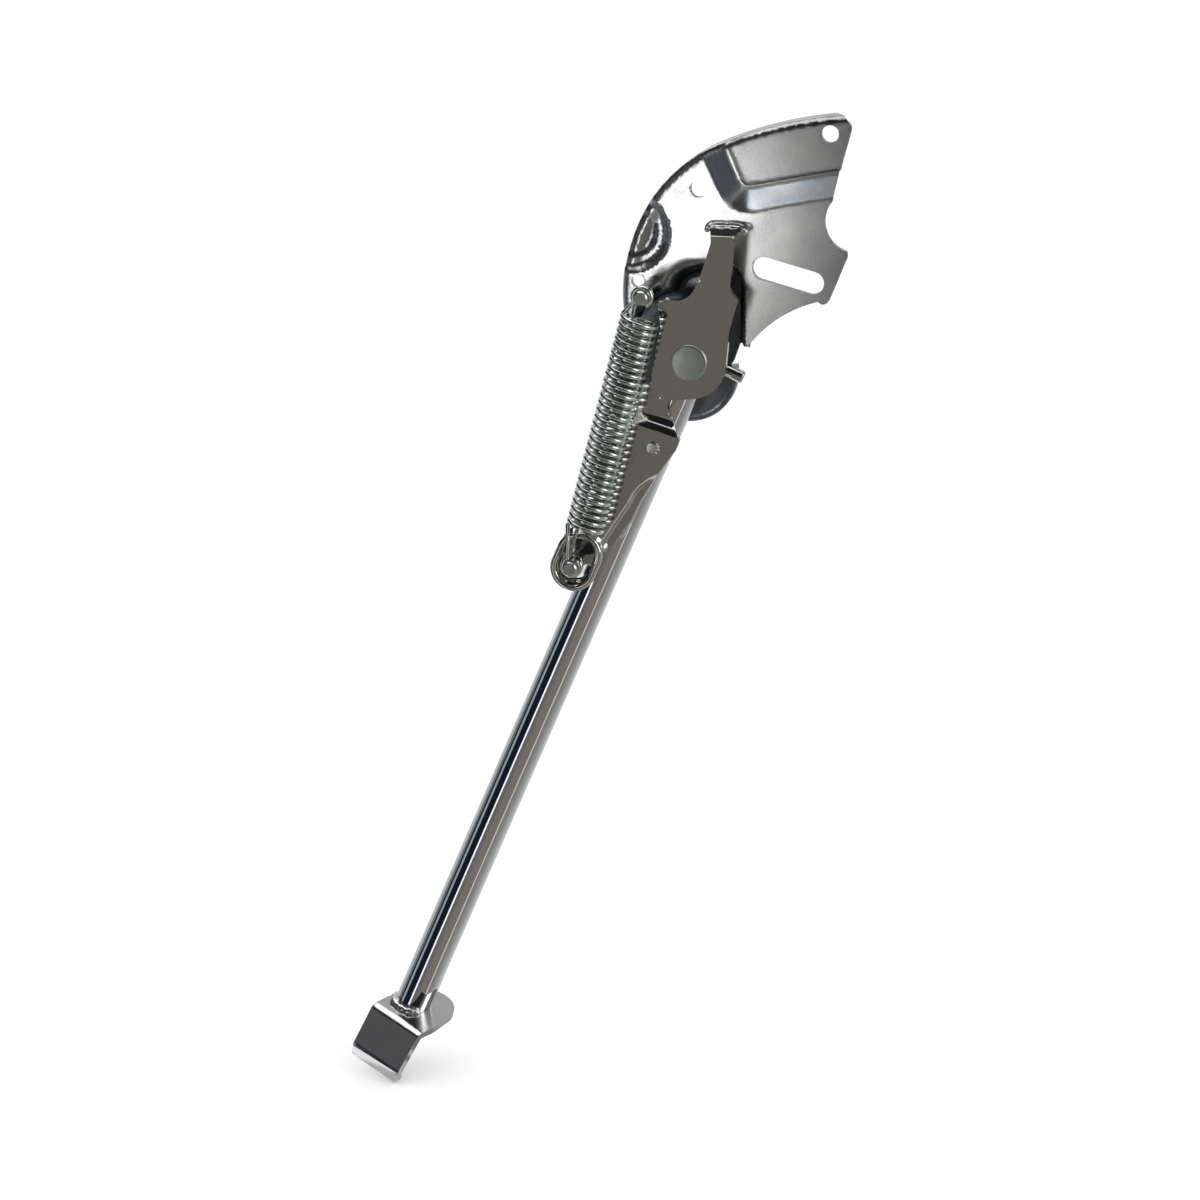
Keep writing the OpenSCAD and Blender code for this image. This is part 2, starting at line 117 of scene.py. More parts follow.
satin_lamp = soft_box("satin_lamp", (-0.098, -0.273, -0.030), (-0.045, 0, 0.022),
                      0.05, 0.04, 0.045)
slope_lamp = soft_box("slope_lamp", (-0.02, -0.105, -0.137), (0.0, -0.006, 0.036),
                      0.05, 0.03, 0.015)
slope_lamp.data.color = (0.82, 0.89, 1.0)
soft_box("side_box", (1.7, -0.5, 0.5), (-0.05, 0, -0.1), 0.7, 1.4, 8)


def card(name, corners, faces, glow):
    """A glowing card that only reflections show."""
    mesh = bpy.data.meshes.new(name)
    mesh.from_pydata(corners, [], faces)
    piece = bpy.data.objects.new(name, mesh)
    scene.collection.objects.link(piece)
    felt = bpy.data.materials.new(name)
    felt.use_nodes = True
    felt.node_tree.nodes.clear()
    light = felt.node_tree.nodes.new("ShaderNodeEmission")
    light.inputs["Color"].default_value = (*glow, 1)
    end = felt.node_tree.nodes.new("ShaderNodeOutputMaterial")
    felt.node_tree.links.new(light.outputs[0], end.inputs[0])
    mesh.materials.append(felt)
    piece.visible_camera = False
    piece.visible_diffuse = False
    piece.visible_shadow = False
    piece.visible_transmission = False


# Strips fan out over the floor from the stand's foot and turn up at the far
# end. Each is given by its angles to the right of straight ahead.
foot_point = Vector((-0.1725, -0.0033, floor_z + 0.0002))
strip_far, strip_up = 4, Vector((0, 0, 0.7))
for name, start, stop, glow in (
        ("pale_back", -173, -130, (0.56, 0.59, 0.61)),
        ("pale_left", -130, -110, (0.44, 0.47, 0.50)),
        ("dusk", -110, -92, (0.16, 0.17, 0.18)),
        ("navy", -92, -78, (0.02, 0.026, 0.038)),
        ("slit", -78, -64, (0.32, 0.35, 0.39)),
        ("black_left", -64, -23, (0.008, 0.012, 0.02)),
        ("white_strip", -23, -12.5, (1.1, 1.1, 1.12)),
        ("black_line", -12.5, -9, (0.02, 0.02, 0.025)),
        ("olive", -9, 12, (0.145, 0.138, 0.127)),
        ("warm_grey", 12, 57, (0.185, 0.174, 0.158)),
        ("pale_line", 57, 64, (0.62, 0.61, 0.58)),
        ("grey_1", 64, 78, (0.215, 0.21, 0.2)),
        ("grey_2", 78, 92, (0.25, 0.255, 0.25)),
        ("grey_3", 92, 108, (0.31, 0.315, 0.31)),
        ("grey_4", 108, 129, (0.40, 0.405, 0.40)),
        ("grey_5", 129, 173, (0.56, 0.57, 0.57))):
    ways = [Vector((math.sin(math.radians(a)), -math.cos(math.radians(a)), 0))
            for a in (start, stop)]
    strip_near = 0.05 if stop < -20 else 0.012
    near_end = [foot_point + strip_near * way for way in ways]
    far_end = [foot_point + strip_far * way for way in ways]
    card(name, near_end + far_end + [place + strip_up for place in far_end],
         [(0, 1, 3, 2), (2, 3, 5, 4)], glow)

# Walls and a roof lean in above them, dark in front and to the left and grey
# to the right and behind, round one long bright panel overhead.
black_cloth = (0.012, 0.012, 0.014)
for name, corners, glow in (
        ("front_wall", [(-4, -4, 0.34), (4, -4, 0.34), (4, -1.2, 2.6), (-4, -1.2, 2.6)],
         black_cloth),
        ("left_wall", [(-4, -4, 0.34), (-4, 3.2, 0.34), (-1.7, 3.2, 2.6), (-1.7, -4, 2.6)],
         black_cloth),
        ("dim_left", [(-2.4, -0.65, 0.38), (-1.6, -1.8, 0.38), (-1.6, -1.8, 1.5),
                      (-2.4, -0.65, 1.5)], (0.105, 0.10, 0.105)),
        ("right_wall", [(4, -4, 0.34), (4, 3, 0.34), (1.5, 3, 2.6), (1.5, -4, 2.6)],
         (0.16, 0.165, 0.16)),
        ("front_roof", [(-4, -1.2, 2.6), (4, -1.2, 2.6), (4, -0.9, 2.6), (-4, -0.9, 2.6)],
         black_cloth),
        ("long_box", [(-1.7, -0.9, 2.6), (0.8, -0.9, 2.6), (0.8, 2.1, 2.6), (-1.7, 2.1, 2.6)],
         (1.5, 1.5, 1.5)),
        ("back_roof", [(-1.7, 2.1, 2.6), (1.5, 2.1, 2.6), (1.5, 3.4, 1.1), (-1.7, 3.4, 1.1)],
         (0.42, 0.43, 0.42)),
        ("low_back", [(-0.6, 0.7, -0.08), (0.35, 0.7, -0.08), (0.35, 0.7, 0.12),
                      (-0.6, 0.7, 0.12)], (0.42, 0.44, 0.43))):
    card(name, corners, [(0, 1, 2, 3)], glow)

# --- Bracket ------------------------------------------------------------
# One blank of 3 mm steel with a raised panel at the upper rear, a deep recess
# round the pivot, a thumb dimple in the front edge and a rim turned back
# round the front and the top. It is plated and tumbled to a soft satin.
thick = 3.0
floor_y, back_y, rim_back = 5.0, 8.0, 3.0
bend_r = 3  # outer radius of the turned rim
bend_run, bend_grow = 4.712, 1.712  # length round that bend, and how far it outgrows the radius
bend_rows = (0, 1.57, 3.14, 4.71)
panel_rise, recess_deep = 5, 8
pivot = (-38.8, -35.3)
post = (-56.6, -6.0)
rim_c, rim_r = (0.5, -10.0), 71.2
join = 113.7
top_r = 167.0
top_c = (rim_c[0] + (rim_r - top_r) * math.cos(math.radians(join)),
         rim_c[1] + (rim_r - top_r) * math.sin(math.radians(join)))
ear_c, ear_r = (-44.0, -45.5), 21.0
stop_x = -20.66
recess_r = 29.16
recess_left, recess_top, recess_round = -50, 3, 9
dimple_c, dimple_r = (-67.1, 15.9), 17.5
slot_r, slot_half = 4.9, 10.6
bolt_r, pilot_r, rivet_hole, post_hole = 3.65, 2.7, 4.1, 2.6


def arc(centre, radius, start, stop, count):
    return [(centre[0] + radius * math.cos(math.radians(start + (stop - start) * i / count)),
             centre[1] + radius * math.sin(math.radians(start + (stop - start) * i / count)))
            for i in range(count + 1)]


def softened(corners, count=6):
    """Closed outline from (x, z, radius) corners."""
    out = []
    total = len(corners)
    for i in range(total):
        a, b, c = (Vector(corners[(i + k) % total][:2]) for k in (-1, 0, 1))
        radius = corners[i][2]
        if radius == 0:
            out.append(tuple(b))
            continue
        u, w = (a - b).normalized(), (c - b).normalized()
        half = math.acos(max(-1, min(1, u.dot(w)))) / 2
        middle = b + (u + w).normalized() * radius / math.sin(half)
        first = b + u * radius / math.tan(half) - middle
        turn = first.angle_signed(b + w * radius / math.tan(half) - middle)
        for k in range(count + 1):
            out.append(tuple(middle + Matrix.Rotation(-turn * k / count, 2) @ first))
    return out


def walk(points, pitch, closed=True):
    """The same line with points no further apart than pitch."""
    out = []
    last = len(points) if closed else len(points) - 1
    for i in range(last):
        a, b = Vector(points[i]), Vector(points[(i + 1) % len(points)])
        steps = max(1, math.ceil((b - a).length / pitch))
        out += [tuple(a.lerp(b, k / steps)) for k in range(steps)]
    if not closed:
        out.append(tuple(points[-1]))
    return out


def within(points, loop):
    """Which points lie inside a closed line."""
    x, z = points[:, 0], points[:, 1]
    inside = np.zeros(len(points), bool)
    a = np.array(loop)
    b = np.roll(a, -1, axis=0)
    for (x0, z0), (x1, z1) in zip(a, b):
        if z0 == z1:
            continue
        crosses = (z0 > z) != (z1 > z)
        inside ^= crosses & (x < x0 + (z - z0) * (x1 - x0) / (z1 - z0))
    return inside


def take_up(piece):
    """Leave one piece selected and active."""
    bpy.ops.object.select_all(action="DESELECT")
    bpy.context.view_layer.objects.active = piece
    piece.select_set(True)


def pressed(name, edge, holes, creases, form, pitch=1.3, wall=thick, nip=0.35):
    """A sheet cut to edge and holes, bent by form, and given its thickness behind."""
    loops = [walk(line, pitch) for line in [edge] + holes]
    lines = [walk(line, pitch, False) for line in creases]
    points, ties = [], []
    for line in loops + lines:
        start = len(points)
        points += line
        ties += [(start + i, start + i + 1) for i in range(len(line) - 1)]
        if line in loops:
            ties.append((start + len(line) - 1, start))
    fixed = np.array(points)
    low, high = np.array(loops[0]).min(0), np.array(loops[0]).max(0)
    rows = np.arange(low[1], high[1], pitch * 0.866)
    grid = np.array([(x + (k % 2) * pitch / 2, z) for k, z in enumerate(rows)
                     for x in np.arange(low[0], high[0], pitch)])
    grid = grid[within(grid, loops[0])]
    near = np.array([((fixed - g) ** 2).sum(1).min() for g in grid])
    grid = grid[near > (0.55 * pitch) ** 2]
    points += [tuple(g) for g in grid]
    flat, _, faces, _, _, _ = geometry.delaunay_2d_cdt([Vector(p) for p in points], ties, [],
                                                       0, 1e-4)
    flat = np.array([tuple(v) for v in flat])
    faces = np.array([tuple(f) for f in faces])
    centres = flat[faces].mean(axis=1)
    keep = within(centres, loops[0])
    for hole in loops[1:]:
        keep &= ~within(centres, hole)
    sheet = bpy.data.meshes.new(name)
    sheet.from_pydata([tuple(c / 1000 for c in form(x, z)) for x, z in flat], [],
                      [tuple(int(i) for i in f) for f in faces[keep]])
    piece = bpy.data.objects.new(name, sheet)
    scene.collection.objects.link(piece)
    take_up(piece)
    bpy.ops.object.mode_set(mode="EDIT")
    bpy.ops.mesh.select_all(action="SELECT")
    bpy.ops.mesh.delete_loose()
    bpy.ops.mesh.select_all(action="SELECT")
    bpy.ops.mesh.normals_make_consistent(inside=False)
    bpy.ops.object.mode_set(mode="OBJECT")
    facing = sum(p.normal.y * p.area for p in sheet.polygons)
    if facing > 0:
        sheet.flip_normals()
    solid = piece.modifiers.new("wall", "SOLIDIFY")
    solid.thickness = wall / 1000
    solid.offset = -1
    solid.use_even_offset = False
    round_off = piece.modifiers.new("nip", "BEVEL")
    round_off.width = nip / 1000
    round_off.segments = 2
    round_off.limit_method = "ANGLE"
    round_off.angle_limit = math.radians(55)
    for modifier in ("wall", "nip"):
        bpy.ops.object.modifier_apply(modifier=modifier)
    bpy.ops.object.shade_smooth_by_angle(angle=math.radians(38))
    even = piece.modifiers.new("even", "WEIGHTED_NORMAL")
    even.keep_sharp = True
    bpy.ops.object.modifier_apply(modifier="even")
    return piece


def ramp(t, soft=0.15):
    """A straight rise from 0 to 1 with its two ends rounded off."""
    t = min(1, max(0, t))
    if t < soft:
        return t * t / (2 * soft) / (1 - soft)
    if t > 1 - soft:
        return 1 - (1 - t) ** 2 / (2 * soft) / (1 - soft)
    return (t - soft / 2) / (1 - soft)


def side_of(line, x, z):
    """How far a point lies on the left of the nearest stretch of an open line."""
    best, sign = 1e9, 1
    for (x0, z0), (x1, z1) in zip(line, line[1:]):
        dx, dz = x1 - x0, z1 - z0
        t = max(0, min(1, ((x - x0) * dx + (z - z0) * dz) / (dx * dx + dz * dz)))
        gap = math.hypot(x - x0 - t * dx, z - z0 - t * dz)
        if gap < best - 1e-9:
            best, sign = gap, 1 if dx * (z - z0) - dz * (x - x0) >= 0 else -1
    return sign * best


panel_foot = [(-52, 80), (-31.1, 35.8), (-28.4, 31.2), (-25.4, 28.2), (-21.5, 26.2), (-17.5, 25.6),
              (-13.5, 26.2), (-2.8, 28.9), (16.2, 32.6), (45, 38)]
panel_edge = [(-38, 80), (-20.2, 39.6), (-18.6, 37.8), (-16.2, 37.2), (-13, 37.7), (2.1, 40.9),
              (45, 49.8)]


def recess_gap(x, z):
    """Distance from the recess, negative inside it."""
    round_part = max(math.hypot(x - pivot[0], z - pivot[1]) - recess_r, x - stop_x)
    mid = ((stop_x + recess_left) / 2, (recess_top + pivot[1]) / 2)
    half = ((stop_x - recess_left) / 2, (recess_top - pivot[1]) / 2)
    dx, dz = abs(x - mid[0]) - half[0] + recess_round, abs(z - mid[1]) - half[1] + recess_round
    square_part = math.hypot(max(dx, 0), max(dz, 0)) + min(max(dx, dz), 0) - recess_round
    return min(round_part, square_part)


def bracket_front(x, z):
    """Depth of the bracket's front surface at a place in its plane."""
    foot, edge = side_of(panel_foot, x, z), side_of(panel_edge, x, z)
    rise = 0
    if foot > 0:
        rise = panel_rise if edge > 0 else panel_rise * ramp(foot / (foot - edge), 0.1)
        rise += 0.35 * math.exp(-((edge - 0.9) / 0.7) ** 2)
    mouth = z < -44 if x < pivot[0] else z < -31
    slope = 3.2 if x > -30 else 3.4 + 9 * math.exp(-((x + 46) ** 2 + (z - 3) ** 2) / 144)
    drop = recess_deep
    if not mouth:
        drop *= ramp((2.8 - recess_gap(x, z)) / slope, 0.3 if slope < 4 else 0.45)
    reach = math.hypot(x - dimple_c[0], z - dimple_c[1])
    dent = 3 * ramp((dimple_r - reach) / 3.6, 0.25) + 1.2 * ramp((11.6 - reach) / 2.4, 0.3)
    dent *= 1 - 0.3 * ramp((math.hypot(x - rim_c[0], z - rim_c[1]) - rim_r + 7) / 4)
    return -thick - rise + drop + dent


def turned_back(x, z, centre, radius, front, tail):
    """A point of the blank past a rim's bend, folded back round it."""
    run = math.hypot(x - centre[0], z - centre[1])
    ux, uz = (x - centre[0]) / run, (z - centre[1]) / run
    past = run - (radius - bend_r)
    y = front(centre[0] + ux * (radius - bend_r), centre[1] + uz * (radius - bend_r))
    if past < bend_run:
        out = radius - bend_r + bend_r * math.sin(past / bend_r)
        y = y + bend_r - bend_r * math.cos(past / bend_r)
    else:
        out, y = radius, min(tail, y + bend_r + past - bend_run)
    return centre[0] + ux * out, y, centre[1] + uz * out


def bracket_form(x, z):
    """Where a point of the flat blank goes: back round a rim, or into the pressing."""
    low, top = math.hypot(x - rim_c[0], z - rim_c[1]), math.hypot(x - top_c[0], z - top_c[1])
    way = math.degrees(math.atan2(z - rim_c[1], x - rim_c[0])) % 360
    ear = math.hypot(x - ear_c[0], z - ear_c[1])
    ear_way = math.degrees(math.atan2(z - ear_c[1], x - ear_c[0])) % 360
    if ear > ear_r - bend_r and (ear_way > 189 or ear_way < 12) and z < -38:
        return turned_back(x, z, ear_c, ear_r, lambda a, b: floor_y, back_y + 5)
    if join <= way < 188 and low > rim_r - bend_r:
        return turned_back(x, z, rim_c, rim_r, bracket_front, rim_back)
    if way < join and z > 45 and top > top_r - bend_r:
        return turned_back(x, z, top_c, top_r, bracket_front, rim_back)
    return x, bracket_front(x, z), z


def rim_blank(centre, radius, start, stop, count):
    """The flat blank's edge, cut so that the rim ends at one depth once turned back."""
    line = []
    for x, z in arc(centre, radius - bend_r, start, stop, count):
        rim_deep = max(0, rim_back - bend_r - bracket_front(x, z))
        grow = (radius + bend_grow + rim_deep) / (radius - bend_r)
        line.append((centre[0] + (x - centre[0]) * grow, centre[1] + (z - centre[1]) * grow))
    return line


bracket_edge = (
    rim_blank(rim_c, rim_r, 187, join, 90)[:-1] + rim_blank(top_c, top_r, join, 98.2, 44)
    + [(16.9, 77.8), (18.9, 76.0), (20.6, 73.6), (22.0, 71.2), (23.3, 69.0), (24.6, 67.0),
       (25.7, 65.3), (26.3, 63.9), (26.3, 62.6), (25.2, 58.2), (20.5, 40.5)]
    + arc((28, 23.5), 13, 141, 254, 16)
    + softened([(24, 12, 0), (24.8, 9, 3), (16.6, -11.6, 3.5), (8, -11.6, 0)])[1:-1]
    + arc((27, -62.5), 54, 105.5, 142.5, 16)
    + [(-18.4, -30.9), (-21.4, -31.1), (-24.2, -39.2), (-26.3, -42.1)]
    + arc(ear_c, ear_r + 6.71, 11, -170, 60)
    + [(-61.7, -48.6), (-65.4, -44.3), (-68.9, -43.8)]
    + arc(pivot, 31.4, 197, 153.5, 14)
    + [(-67.2, -18.9)]
)


def disc(centre, radius, count=40):
    return arc(centre, radius, 0, 360, count)[:-1]


slope_rad = math.radians(-14.5)
slot_ends = [Vector((s * slot_half * math.cos(slope_rad), s * slot_half * math.sin(slope_rad)))
             for s in (-1, 1)]
slot = (arc(slot_ends[1], slot_r, -104.5, 75.5, 18)
        + arc(slot_ends[0], slot_r, 75.5, 255.5, 18))
bracket_creases = (
    [arc(rim_c, rim_r - bend_r + s, 186.6, join, 70) for s in bend_rows]
    + [arc(top_c, top_r - bend_r + s, join, 94.3, 50) for s in bend_rows]
    + [arc(ear_c, ear_r - bend_r + s, 11, -170, 60) for s in bend_rows]
    + [[(x + 0.6 * s, z + 0.8 * s) for x, z in panel_edge[1:-1]] + [(21, 45 + s)]
       for s in (-0.9, 0, 0.45, 0.9, 1.35, 1.9)]
    + [panel_foot[1:]]
    + [arc(dimple_c, ring, -75, 100, steps)
       for ring, steps in ((dimple_r, 40), (15.7, 40), (13.9, 40), (11.6, 30), (9.2, 30))]
    + [[(stop_x + s, -30.8), (stop_x + s, -7)] for s in (-0.6, 0.2, 1.0, 1.9)]
    + [[(-40, 3 + s), (-31, 3 + s)] for s in (-0.6, 0.2, 1.0, 1.9, 2.7)]
    + [arc(pivot, recess_r + s, 197, 148, 20) for s in (-0.6, 0.6, 1.7, 2.6)]
)
bracket_holes = [slot, disc((-37.9, 35.2), bolt_r), disc((17.6, 60.9), bolt_r),
                 disc((-63.6, -4.8), pilot_r), disc(pivot, rivet_hole), disc(post, post_hole)]
bracket = pressed("pressed_bracket", bracket_edge, bracket_holes, bracket_creases,
                  bracket_form, pitch=1.15)


def plating_group():
    """Shared look of plated steel: cloudy polish, and a fine grain that can be dented in."""
    group = bpy.data.node_groups.new("plated_steel", "ShaderNodeTree")
    for label, kind, value in (("Bright", "NodeSocketColor", (0.8, 0.8, 0.8, 1)),
                               ("Dull", "NodeSocketColor", (0.5, 0.5, 0.5, 1)),
                               ("Polish", "NodeSocketFloat", 0.1),
                               ("Haze", "NodeSocketFloat", 0.1),
                               ("Cloud Scale", "NodeSocketFloat", 40),
                               ("Grain Scale", "NodeSocketFloat", 900)):
        socket = group.interface.new_socket(name=label, in_out="INPUT", socket_type=kind)
        socket.default_value = value
    for label, kind in (("Colour", "NodeSocketColor"), ("Roughness", "NodeSocketFloat"),
                        ("Height", "NodeSocketFloat")):
        group.interface.new_socket(name=label, in_out="OUTPUT", socket_type=kind)
    add, join_up = group.nodes.new, group.links.new
    inputs, outputs = add("NodeGroupInput"), add("NodeGroupOutput")
    place = add("ShaderNodeTexCoord")
    cloud, grain = add("ShaderNodeTexNoise"), add("ShaderNodeTexNoise")
    for noise, label, detail in ((cloud, "Cloud Scale", 4), (grain, "Grain Scale", 6)):
        noise.inputs["Detail"].default_value = detail
        join_up(place.outputs["Object"], noise.inputs["Vector"])
        join_up(inputs.outputs[label], noise.inputs["Scale"])
    contrast = add("ShaderNodeMapRange")
    contrast.inputs["From Min"].default_value = 0.25
    contrast.inputs["From Max"].default_value = 0.9
    join_up(cloud.outputs["Fac"], contrast.inputs["Value"])
    speck = add("ShaderNodeMath")
    speck.operation = "MULTIPLY"
    join_up(contrast.outputs["Result"], speck.inputs[0])
    join_up(grain.outputs["Fac"], speck.inputs[1])
    tint = add("ShaderNodeMix")
    tint.data_type = "RGBA"
    join_up(speck.outputs[0], tint.inputs["Factor"])
    join_up(inputs.outputs["Bright"], tint.inputs["A"])
    join_up(inputs.outputs["Dull"], tint.inputs["B"])
    join_up(tint.outputs["Result"], outputs.inputs["Colour"])
    haze = add("ShaderNodeMath")
    haze.operation = "MULTIPLY_ADD"
    join_up(contrast.outputs["Result"], haze.inputs[0])
    join_up(inputs.outputs["Haze"], haze.inputs[1])
    join_up(inputs.outputs["Polish"], haze.inputs[2])
    join_up(haze.outputs[0], outputs.inputs["Roughness"])
    join_up(grain.outputs["Fac"], outputs.inputs["Height"])
    return group


plated_steel = plating_group()


def plated(name, bright, dull, polish, haze, cloud=40, grain=900, dent=0.0):
    """A plated finish: bright and dull tints, its polish, and how deep its grain cuts."""
    finish = bpy.data.materials.new(name)
    finish.use_nodes = True
    tree = finish.node_tree
    shader = tree.nodes["Principled BSDF"]
    shader.inputs["Metallic"].default_value = 1
    effect = tree.nodes.new("ShaderNodeGroup")
    effect.node_tree = plated_steel
    for label, value in (("Bright", (*bright, 1)), ("Dull", (*dull, 1)), ("Polish", polish),
                         ("Haze", haze), ("Cloud Scale", cloud), ("Grain Scale", grain)):
        effect.inputs[label].default_value = value
    tree.links.new(effect.outputs["Colour"], shader.inputs["Base Color"])
    tree.links.new(effect.outputs["Roughness"], shader.inputs["Roughness"])
    if dent:
        bump = tree.nodes.new("ShaderNodeBump")
        bump.inputs["Strength"].default_value = dent
        bump.inputs["Distance"].default_value = 0.0002
        tree.links.new(effect.outputs["Height"], bump.inputs["Height"])
        tree.links.new(bump.outputs["Normal"], shader.inputs["Normal"])
    return finish


def eased(tree, low, high):
    """A smooth rise from 0 to 1 between two places on an axis, in metres."""
    step = tree.nodes.new("ShaderNodeMapRange")
    step.interpolation_type = "SMOOTHSTEP"
    for label, value in (("From Min", low), ("From Max", high), ("To Min", 0), ("To Max", 1)):
        step.inputs[label].default_value = value
    return step


def toned(tree, tint):
    """A tint that multiplies the colour below it."""
    tone = tree.nodes.new("ShaderNodeMix")
    tone.data_type = "RGBA"
    tone.blend_type = "MULTIPLY"
    tone.inputs["B"].default_value = (*tint, 1)
    return tone


# Painted shade: the colour darkens deeper down in the recess and greys towards the rear.
satin = plated("satin_plate", (0.89, 0.90, 0.88), (0.19, 0.19, 0.22), 0.27, 0.06,
               cloud=75, grain=1000, dent=0.15)
satin_tree = satin.node_tree
satin_shader = satin_tree.nodes["Principled BSDF"]
satin_colour = satin_shader.inputs["Base Color"].links[0].from_socket
satin_place = satin_tree.nodes.new("ShaderNodeTexCoord")
satin_axes = satin_tree.nodes.new("ShaderNodeSeparateXYZ")
satin_tree.links.new(satin_place.outputs["Object"], satin_axes.inputs["Vector"])
# Each row: axis, where the painted shade starts and where it is full, in metres, and its tint.
for axis, low, high, tint in (("X", -0.03, 0.03, (0.52, 0.52, 0.53)),
                              ("Y", -0.0028, 0.0044, (0.20, 0.21, 0.23))):
    step, tone = eased(satin_tree, low, high), toned(satin_tree, tint)
    satin_tree.links.new(satin_axes.outputs[axis], step.inputs["Value"])
    satin_tree.links.new(step.outputs["Result"], tone.inputs["Factor"])
    satin_tree.links.new(satin_colour, tone.inputs["A"])
    satin_colour = tone.outputs["Result"]
satin_tree.links.new(satin_colour, satin_shader.inputs["Base Color"])
bracket.data.materials.append(satin)

# Its sheared walls are darker, along the outline and in the holes.
cut_edge = plated("cut_edge", (0.34, 0.34, 0.35), (0.16, 0.16, 0.17), 0.30, 0.10,
                  cloud=300, grain=1400, dent=0.2)
bracket.data.materials.append(cut_edge)
cut_points = np.array([p for line in [bracket_edge] + bracket_holes for p in walk(line, 0.4)])
near_cut = 0.16  # square of 0.4 mm
for face in bracket.data.polygons:
    place = np.array((face.center.x, face.center.z)) * 1000
    if (abs(face.normal.y) < 0.45
            and ((cut_points - place) ** 2).sum(1).min() < near_cut):
        face.material_index = 1
lit = bpy.data.collections.new("lit_by_satin_lamp")
lit.objects.link(bracket)
satin_lamp.light_linking.receiver_collection = lit
slope_lamp.light_linking.receiver_collection = lit
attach(bracket, "bracket")
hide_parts("bracket_plate")

# --- Fork plate ---------------------------------------------------------
# A flat plate of 3 mm steel that carries the rider's end of the pivot rivet.
# Its neck is bent back at the top and welded to the bracket there. Bright
# plate over polished steel.
fork_z, fork_front = 18.4, -18.0
neck_blank, neck_rise, neck_back = 12, 2.4, 11.8


def fork_form(x, z):
    """Flat up to the neck's bend, then back and a little up."""
    if z < fork_z:
        return x, fork_front, z
    t = (z - fork_z) / neck_blank
    return x, fork_front + neck_back * ramp(t / 0.95, 0.3), fork_z + neck_rise * t


fork_edge = softened([(-51.2, -52.5, 4), (-24.4, -49.4, 15), (-22, -22, 8), (-18.4, -8.6, 2),
                      (-21.7, -4, 4), (-20.4, 17, 12), (-17.9, 30.4, 1.6), (-32.9, 30.4, 1.6),
                      (-29.4, 17, 12), (-35, -0.5, 20), (-39.6, -9.9, 8.5), (-52.4, -8.4, 2.5),
                      (-51, -21.5, 8), (-55, -42, 8)])
neck_rows = [[(-34, fork_z + s), (-16, fork_z + s)]
             for s in (0, 1.2, 2.4, 3.8, 5.4, 7.2, 9, 10.4)]
fork = pressed("fork_plate_bright", fork_edge, [disc(pivot, rivet_hole)], neck_rows,
               fork_form, pitch=1.8)
bright_plate = plated("bright_plate", (0.78, 0.77, 0.75), (0.66, 0.65, 0.63), 0.07, 0.04,
                      cloud=35, grain=500)
fork.data.materials.append(bright_plate)
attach(fork, "bracket")
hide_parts("fork_plate")

# --- Neck weld ----------------------------------------------------------
# A bead that holds the top of the fork plate's neck to the bracket and runs
# down at both its ends. It is plated over, so it is bright but lumpy.


def bead(name, line, radius, lumps, seed):
    """A weld bead: a run of fused drops along a line of (x, y, z) places."""
    rng = np.random.default_rng(seed)
    bpy.ops.object.select_all(action="DESELECT")
    drops = []
    for k in range(lumps):
        t = (k + 0.5) / lumps * (len(line) - 1)
        a, b = Vector(line[int(t)]), Vector(line[min(int(t) + 1, len(line) - 1)])
        place = a.lerp(b, t - int(t)) + Vector(rng.normal(0, 0.12, 3))
        drop_r = radius / 1000 * rng.uniform(0.85, 1.08)
        bpy.ops.mesh.primitive_ico_sphere_add(subdivisions=3, radius=drop_r, location=place / 1000)
        drops.append(bpy.context.object)
    for drop in drops:
        drop.select_set(True)
    bpy.context.view_layer.objects.active = drops[0]
    bpy.ops.object.join()
    piece = bpy.context.object
    piece.name = name
    bpy.ops.object.transform_apply(location=True, rotation=True, scale=True)
    fuse = piece.modifiers.new("fuse", "REMESH")
    fuse.mode = "VOXEL"
    fuse.voxel_size = 0.00032
    ease = piece.modifiers.new("ease", "SMOOTH")
    ease.iterations = 10
    for modifier in ("fuse", "ease"):
        bpy.ops.object.modifier_apply(modifier=modifier)
    bpy.ops.object.shade_smooth()
    return piece


neck_line = [(-33.2, -8.2, 19.0), (-33.0, -5.0, 20.2), (-31.4, -4.4, 20.7), (-25.5, -4.4, 20.9),
             (-19.4, -4.4, 20.7), (-17.8, -5.0, 20.2), (-17.6, -8.2, 19.0)]
neck_weld = bead("neck_bead", neck_line, 1.6, 28, 4)
weld_metal = plated("weld_metal", (0.93, 0.93, 0.95), (0.45, 0.44, 0.44), 0.24, 0.14,
                    cloud=420, grain=1500, dent=0.35)
neck_weld.data.materials.append(weld_metal)
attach(neck_weld, "bracket")
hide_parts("neck_weld")

# --- Pivot rivet --------------------------------------------------------
# A cold-headed steel rivet through bracket, bush, arm and fork plate. Its
# wide flat head is zinc plated, matte and faintly green, with a soft rim.


def turned(name, profile, frame_of, steps=64):
    """A lathe-turned piece from (radius, depth) pairs about Y, set in place by frame_of."""
    mesh = bpy.data.meshes.new(name)
    mesh.from_pydata([(r / 1000, y / 1000, 0) for r, y in profile],
                     [(i, i + 1) for i in range(len(profile) - 1)], [])
    piece = bpy.data.objects.new(name, mesh)
    scene.collection.objects.link(piece)
    take_up(piece)
    bpy.ops.object.mode_set(mode="EDIT")
    bpy.ops.mesh.select_all(action="SELECT")
    bpy.ops.mesh.spin(steps=steps, angle=2 * math.pi, center=(0, 0, 0), axis=(0, 1, 0))
    bpy.ops.mesh.select_all(action="SELECT")
    bpy.ops.mesh.remove_doubles(threshold=1e-6)
    bpy.ops.mesh.normals_make_consistent(inside=False)
    bpy.ops.object.mode_set(mode="OBJECT")
    mesh.transform(frame_of)
    bpy.ops.object.shade_smooth_by_angle(angle=math.radians(35))
    return piece


